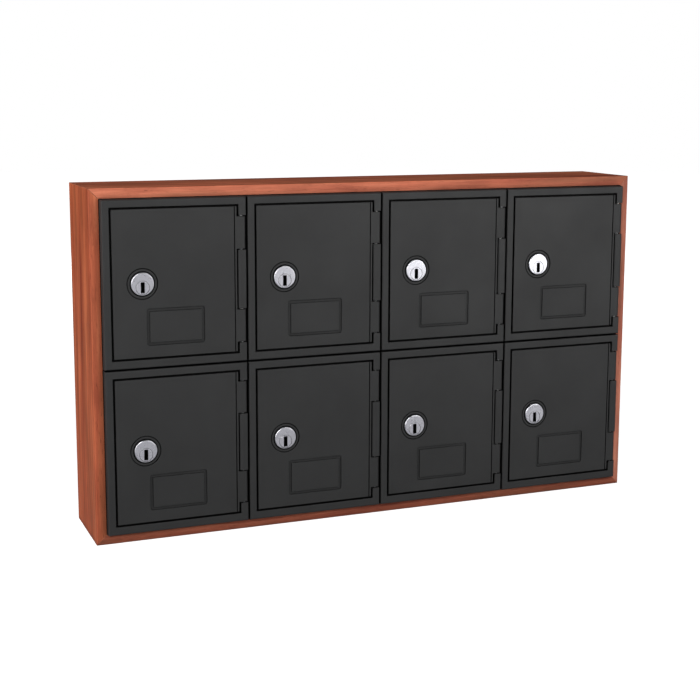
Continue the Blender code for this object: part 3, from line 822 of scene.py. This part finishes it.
def black_moulding():
    """Spark-eroded black plastic: a fine even grain, slightly cloudy, polished a little on its edges and
    lighter there with a painted highlight, and darkened in its gaps with painted shade.
    """
    made, tree, shader = new_material("moulded_black_plastic")
    coords = own_coords(tree)
    cloud = noise(tree, coords, scale=22.0, detail=4.0, rough=0.55)
    grain = noise(tree, coords, scale=2600.0, detail=2.0, rough=0.6)
    pebble = noise(tree, coords, scale=900.0, detail=2.0, rough=0.5)
    # Lighter edges, partly wear and partly a painted highlight
    wear_and_highlight = math_node(tree, "MULTIPLY", edge_wear_and_highlight(tree), BLACK_WEAR_AND_HIGHLIGHT)
    base = ramp(tree, cloud, (NOISE_SPAN[0], BLACK_LOW), (NOISE_SPAN[1], BLACK_HIGH))
    base = mixed(tree, wear_and_highlight, base, BLACK_WORN_AND_HIGHLIT)
    # Painted shade: the colour and the gloss are darkened in gaps and inside corners
    painted_gap_shade = painted_crevice_shade(tree)
    gloss = math_node(tree, "MULTIPLY", painted_gap_shade, BLACK_SPECULAR)
    grain_rough = level(tree, grain, NOISE_SPAN, BLACK_GRAIN_ROUGH)
    rough = math_node(tree, "ADD", level(tree, cloud, NOISE_SPAN, BLACK_ROUGH), grain_rough)
    give(tree, shader, Base_Color=times(tree, base, painted_gap_shade), Roughness=rough, Specular_IOR_Level=gloss)
    height = math_node(tree, "ADD", grain, math_node(tree, "MULTIPLY", pebble, BLACK_PEBBLE_HEIGHT))
    bumped(tree, shader, height, BLACK_RELIEF, BLACK_BUMP)
    return made


def stained_wood():
    """Red-brown stained hardwood: streaks and fibres along the board, dark pores, and a dull finish."""
    made, tree, shader = new_material("stained_hardwood")
    coords = own_coords(tree)
    swayed = swaying(tree, coords)
    broad = figure(tree, swayed, along=3.5, across=62.0, detail=4.0, rough=0.6)
    narrow = figure(tree, swayed, along=9.0, across=330.0, detail=3.0, rough=0.6)
    fibre = figure(tree, swayed, along=45.0, across=2400.0, detail=2.0, rough=0.6)
    pores = figure(tree, swayed, along=110.0, across=1700.0, detail=1.0, rough=0.5)
    patch = figure(tree, coords, along=16.0, across=30.0, detail=3.0, rough=0.55)
    hue = figure(tree, swayed, along=4.5, across=95.0, detail=2.0, rough=0.5)
    broad_part = math_node(tree, "MULTIPLY", broad, BROAD_SHARE)
    tone = math_node(tree, "ADD", broad_part, math_node(tree, "MULTIPLY", narrow, NARROW_SHARE))
    colour = ramp(tree, tone, *zip(WOOD_TONES, (WOOD_DARK, WOOD_MID, WOOD_LIGHT)))
    colour = mixed(tree, level(tree, hue, BROWN_HUES, BROWN_SHARE), colour, WOOD_BROWN)
    colour = times(tree, colour, level(tree, patch, NOISE_SPAN, PATCH_SHADE))
    colour = times(tree, colour, level(tree, fibre, NOISE_SPAN, FIBRE_SHADE))
    colour = times(tree, colour, level(tree, pores, PORE_SPAN, PORE_SHADE))
    colour = finished_wood(tree, colour)
    rough = level(tree, tone, NOISE_SPAN, WOOD_ROUGH)
    give(tree, shader, Base_Color=colour, Roughness=rough, Specular_IOR_Level=WOOD_SPECULAR)
    fibre_height = math_node(tree, "MULTIPLY", fibre, FIBRE_HEIGHT)
    height = math_node(tree, "SUBTRACT", fibre_height, level(tree, pores, PORE_SPAN, (0.0, 1.0)))
    bumped(tree, shader, height, WOOD_RELIEF, WOOD_BUMP)
    return made


def swaying(tree, coords):
    """Coordinates that bend a little sideways along a board, as its grain does."""
    bend = figure(tree, coords, along=5.0, across=16.0, detail=2.0, rough=0.5)
    aside = math_node(tree, "MULTIPLY", bend, WOOD_SWAY)
    sway = node(tree, "ShaderNodeCombineXYZ", {"Y": aside}).outputs[0]
    return vector_math(tree, "ADD", coords, sway).outputs[0]


def finished_wood(tree, colour):
    """The wood's colour with each board's tint, partly its own and partly painted light, a painted sheen on
    the front, edges lighter from wear and a painted highlight, and painted shade in gaps.
    """
    board_tint_and_painted_light = node(tree, "ShaderNodeObjectInfo").outputs["Color"]
    colour = mixed(tree, 1.0, colour, board_tint_and_painted_light, "MULTIPLY")
    facing = node(tree, "ShaderNodeTexCoord").outputs["Normal"]
    facing_back = node(tree, "ShaderNodeSeparateXYZ", {"Vector": facing}).outputs["Y"]
    # Painted sheen: the front faces are paler, as if lit
    front = level(tree, facing_back, SHEEN_FACING, (1.0, 0.0))
    colour = mixed(tree, front, colour, FRONT_SHEEN_TINT, "MULTIPLY")
    # Lighter arrises, partly wear and partly a painted highlight
    worn_and_highlight = math_node(tree, "MULTIPLY", edge_wear_and_highlight(tree, WOOD_EDGE_REACH), WOOD_WEAR_AND_HIGHLIGHT)
    colour = mixed(tree, worn_and_highlight, colour, WOOD_WORN_AND_HIGHLIT)
    # Painted shade darkens the wood in gaps and beside the bezels
    return times(tree, colour, painted_crevice_shade(tree, WOOD_CREVICE_REACH, WOOD_CREVICE_DARKEST))


def satin_chrome():
    """Plated die casting with a fine satin grain, darkened with painted shade in its crevices."""
    made, tree, shader = new_material("satin_chrome_plate")
    coords = own_coords(tree)
    speck = noise(tree, coords, scale=1500.0, detail=3.0, rough=0.7)
    cloud = noise(tree, coords, scale=420.0, detail=3.0, rough=0.6)
    base = ramp(tree, speck, *zip(CHROME_SPECKS, (CHROME_LOW, CHROME_HIGH)))
    # Painted shade in the plating's crevices
    base = times(tree, base, painted_crevice_shade(tree, CHROME_CREVICE_REACH))
    rough = level(tree, cloud, NOISE_SPAN, CHROME_ROUGH)
    give(tree, shader, Base_Color=base, Metallic=1.0, Roughness=rough)
    bumped(tree, shader, speck, CHROME_RELIEF, CHROME_BUMP)
    return made


def zinc_steel():
    """Bright zinc plating, slightly yellow and blue in patches, with rolled streaks."""
    made, tree, shader = new_material("zinc_plated_steel")
    coords = own_coords(tree)
    cloud = noise(tree, coords, scale=120.0, detail=4.0, rough=0.6)
    drawn_out = stretched(tree, coords, (300.0, 300.0, 2600.0))
    streak = noise(tree, drawn_out, scale=1.0, detail=2.0, rough=0.5)
    base = ramp(tree, cloud, (NOISE_SPAN[0], ZINC_YELLOW), (0.5, ZINC_PLAIN), (NOISE_SPAN[1], ZINC_BLUE))
    streak_rough = level(tree, streak, NOISE_SPAN, ZINC_STREAK_ROUGH)
    rough = math_node(tree, "ADD", level(tree, cloud, NOISE_SPAN, ZINC_ROUGH), streak_rough)
    give(tree, shader, Base_Color=base, Metallic=1.0, Roughness=rough)
    bumped(tree, shader, streak, ZINC_RELIEF, ZINC_BUMP)
    return made


def keyway_painted_shade():
    """The inside of the keyway, painted near black as shade, faintly mottled."""
    made, tree, shader = new_material("painted_shade_keyway")
    shade_mottle = noise(tree, own_coords(tree), scale=700.0, detail=3.0, rough=0.6)
    base = ramp(tree, shade_mottle, (NOISE_SPAN[0], KEYWAY_SHADE_LOW), (NOISE_SPAN[1], KEYWAY_SHADE_HIGH))
    rough = level(tree, shade_mottle, NOISE_SPAN, KEYWAY_SHADE_ROUGH)
    give(tree, shader, Base_Color=base, Roughness=rough, Specular_IOR_Level=KEYWAY_SHADE_SPECULAR)
    return made


# Assembly -----------------------------------------------------------------------------------------


def paint_keyway_shade(mesh):
    """Gives the second material, a painted shade, to the walls and the floor of the keyway."""
    reach_u, reach_v = KEYWAY_WIDTH / 2 + KEYWAY_MARGIN, KEYWAY_HEIGHT / 2 + KEYWAY_MARGIN
    front, back = FACE_FRONT + KEYWAY_MARGIN / 2, KEYWAY_BACK + OVERLAP
    for face in mesh.polygons:
        u, depth, v = face.center.x, face.center.y, -face.center.z
        if abs(u - LOCK_U) < reach_u and abs(v - PLUG_V) < reach_v and front < depth < back:
            face.material_index = 1


def link(obj):
    bpy.context.scene.collection.objects.link(obj)
    return obj


def place(name, mesh, spot, body, node_name, materials):
    """Puts a piece in the scene in place of a CAD node, or of none where node_name is None."""
    if not mesh.materials:
        for material in materials:
            mesh.materials.append(material)
    obj = link(bpy.data.objects.new(name, mesh))
    obj.matrix_world = spot
    weighted = obj.modifiers.new("weighted normals", "WEIGHTED_NORMAL")
    weighted.keep_sharp = True
    weighted.weight = LARGE_FACES_LEAD
    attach(obj, body)
    if node_name:
        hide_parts(node_name)
    return obj


def add_compartments(black, chrome, steel, keyway_shade):
    """The moulding, door, hinge pin and lock of every compartment, which share their meshes."""
    plug = plug_mesh()
    paint_keyway_shade(plug)
    pieces = (
        ("shell", shell_mesh(), "cabinet", "compartment", "black_moulding", (black,)),
        ("hinge_rod", pin_mesh(), "cabinet", "hinge_pin", "zinc_steel", (steel,)),
        ("door_leaf", door_mesh(), "door", "door", "black_moulding", (black,)),
        ("lock_face", lock_face_mesh(), "door", "lock_housing", "satin_chrome", (chrome,)),
        ("clamp_nut", nut_mesh(), "door", "lock_nut", "zinc_steel", (steel,)),
        ("key_plug", plug, "lock", "lock_plug", "satin_chrome", (chrome, keyway_shade)),
        ("cam_plate", cam_mesh(), "lock", "lock_cam", "zinc_steel", (steel,)),
        ("cam_screw", cam_screw_mesh(), "lock", None, "zinc_steel", (steel,)),
    )
    for number in range(1, COUNT + 1):
        spot = Matrix.Translation(corner(number))
        for name, mesh, body, node_name, slot, materials in pieces:
            rides_on = body if body == "cabinet" else f"{body}_{number}"
            stands_for = node_name and f"{node_name}_{number}"
            place(f"{name}_{number}", mesh, spot, rides_on, stands_for, materials)


def add_boards(wood):
    """The four boards. Each turns so that its length is the local X and its outer face is the local top."""
    for name, turn, tint_and_painted_light in BOARDS:
        low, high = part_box(f"frame_{name}")
        size = high - low
        length, thick = (size.x, size.z) if turn in (0, 180) else (size.z, size.x)
        mesh = board_mesh(f"{name}_board", length, size.y, thick)
        spot = Matrix.Translation((low + high) / 2) @ Matrix.Rotation(math.radians(turn), 4, "Y")
        board = place(f"{name}_board", mesh, spot, "cabinet", f"frame_{name}", (wood,))
        # The tint is partly the board's own wood and partly painted light
        board.color = (*tint_and_painted_light, 1.0)


# Studio -------------------------------------------------------------------------------------------

CAMERA_PLACE = (-0.5216, -1.262, 0.4221)
CAMERA_TURN = (81.019, -0.174, -21.898)
CAMERA_LENS, SENSOR, CAMERA_SHIFT_Y = 69.659, 36.0, -0.0636

# Each softbox's azimuth and elevation from the locker, its distance, its width and height, and its watts
SOFTBOXES = {
    "key": (-26.0, 22.0, 1.9, (0.9, 0.8), 21.0),
    "right_front": (31.0, 17.0, 1.9, (1.1, 0.8), 11.5),
    "left_side": (-84.0, 12.0, 2.0, (1.0, 0.9), 19.0),
    "right_glint": (36.0, 4.5, 1.67, (0.7, 0.6), 2.9),
    "back_fill": (165.0, 10.0, 2.2, (1.2, 0.9), 9.0),
}
UNREFLECTED = ("back_fill",)

WHITE = (1.0, 1.0, 1.0, 1.0)
# The glow of the studio's walls from straight below, past the horizon, to straight above
GLOW_BELOW, GLOW_AROUND, GLOW_ABOVE = (0.1, 0.1, 0.1), (0.05, 0.05, 0.05), (0.07, 0.07, 0.07)
GLOW_STOPS = ((0.0, GLOW_BELOW), (0.45, GLOW_AROUND), (0.6, GLOW_AROUND), (1.0, GLOW_ABOVE))

FLOOR_R, FLOOR_FACETS, FLOOR_DROP = 6.0, 96, 0.0002
FLOOR_LOW, FLOOR_HIGH, FLOOR_ROUGH = (0.83, 0.83, 0.83), (0.85, 0.85, 0.85), 0.9
FLOOR_BOUNCE, FLOOR_GLINT = (0.22, 0.22, 0.22), (0.6, 0.6, 0.63)  # its colour to diffuse and to glossy rays
FLOOR_FADE, FLOOR_GLOW = (0.4, 1.6), (0.72, 1.0)  # the glow rises between these distances from the middle


def add_camera():
    data = bpy.data.cameras.new("camera")
    data.lens = CAMERA_LENS
    data.sensor_width = SENSOR
    data.shift_y = CAMERA_SHIFT_Y
    camera = link(bpy.data.objects.new("camera", data))
    camera.location = CAMERA_PLACE
    camera.rotation_euler = [math.radians(angle) for angle in CAMERA_TURN]
    bpy.context.scene.camera = camera


def add_softbox(name, azimuth, elevation, distance, size, power, target):
    """An area light seen from the object at an azimuth and elevation, which the camera doesn't see."""
    a, e = math.radians(azimuth), math.radians(elevation)
    away = Vector((math.sin(a) * math.cos(e), -math.cos(a) * math.cos(e), math.sin(e)))
    data = bpy.data.lights.new(name, "AREA")
    data.shape = "RECTANGLE"
    data.size, data.size_y = size
    data.energy = power
    softbox = link(bpy.data.objects.new(name, data))
    softbox.location = Vector(target) + away * distance
    softbox.rotation_mode = "QUATERNION"
    softbox.rotation_quaternion = (Vector(target) - softbox.location).to_track_quat("-Z", "Y")
    softbox.visible_camera = False
    softbox.visible_glossy = name not in UNREFLECTED


def add_world():
    """White to the camera, and a soft dim glow to everything else."""
    world = bpy.data.worlds.new("studio")
    bpy.context.scene.world = world
    world.use_nodes = True
    tree = world.node_tree
    tree.nodes.clear()
    direction = node(tree, "ShaderNodeTexCoord").outputs["Generated"]
    height = node(tree, "ShaderNodeSeparateXYZ", {"Vector": direction}).outputs["Z"]
    glow = ramp(tree, level(tree, height, (-1.0, 1.0), (0.0, 1.0)), *GLOW_STOPS)
    soft = node(tree, "ShaderNodeBackground", {"Color": glow, "Strength": 1.0}).outputs[0]
    white = node(tree, "ShaderNodeBackground", {"Color": WHITE, "Strength": 1.0}).outputs[0]
    seen = node(tree, "ShaderNodeLightPath").outputs["Is Camera Ray"]
    both = node(tree, "ShaderNodeMixShader", {0: seen, 1: soft, 2: white}).outputs[0]
    node(tree, "ShaderNodeOutputWorld", {"Surface": both})


def pale_floor():
    """Pale floor that glows to the camera, so that it fades into the white, and is clear from below."""
    made, tree, shader = new_material("pale_floor")
    spot = node(tree, "ShaderNodeTexCoord").outputs["Object"]
    mottle = noise(tree, spot, scale=9.0, detail=3.0, rough=0.5)
    colour = ramp(tree, mottle, (NOISE_SPAN[0], FLOOR_LOW), (NOISE_SPAN[1], FLOOR_HIGH))
    path = node(tree, "ShaderNodeLightPath")
    colour = mixed(tree, path.outputs["Is Diffuse Ray"], colour, FLOOR_BOUNCE)
    colour = mixed(tree, path.outputs["Is Glossy Ray"], colour, FLOOR_GLINT)
    away = node(tree, "ShaderNodeVectorMath", {0: spot}, operation="LENGTH").outputs["Value"]
    rise = level(tree, away, FLOOR_FADE, FLOOR_GLOW)
    glow = math_node(tree, "MULTIPLY", path.outputs["Is Camera Ray"], rise)
    give(tree, shader, Base_Color=colour, Roughness=FLOOR_ROUGH, Specular_IOR_Level=0.0)
    give(tree, shader, Emission_Color=WHITE, Emission_Strength=glow)
    clear = node(tree, "ShaderNodeBsdfTransparent").outputs[0]
    under = node(tree, "ShaderNodeNewGeometry").outputs["Backfacing"]
    both = node(tree, "ShaderNodeMixShader", {0: under, 1: shader.outputs[0], 2: clear}).outputs[0]
    tree.links.new(both, tree.nodes["Material Output"].inputs["Surface"])
    return made


def add_floor():
    bm = bmesh.new()
    bmesh.ops.create_circle(bm, cap_ends=True, segments=FLOOR_FACETS, radius=FLOOR_R)
    mesh = bpy.data.meshes.new("floor")
    bm.to_mesh(mesh)
    bm.free()
    mesh.materials.append(pale_floor())
    floor = link(bpy.data.objects.new("floor", mesh))
    floor.location = (0.0, 0.0, cad_box[0].z - FLOOR_DROP)


def add_studio():
    add_camera()
    add_world()
    add_floor()
    middle = (cad_box[0] + cad_box[1]) / 2
    for name, settings in SOFTBOXES.items():
        add_softbox(name, *settings, middle)
    bpy.context.scene.view_settings.view_transform = "Standard"
    bpy.context.scene.view_settings.look = "None"


def clear_working_objects():
    """Removes the shapes that the pieces were cut from."""
    for obj in list(WORK.objects):
        bpy.data.objects.remove(obj)
    bpy.data.collections.remove(WORK)


add_compartments(black_moulding(), satin_chrome(), zinc_steel(), keyway_painted_shade())
add_boards(stained_wood())
clear_working_objects()
add_studio()
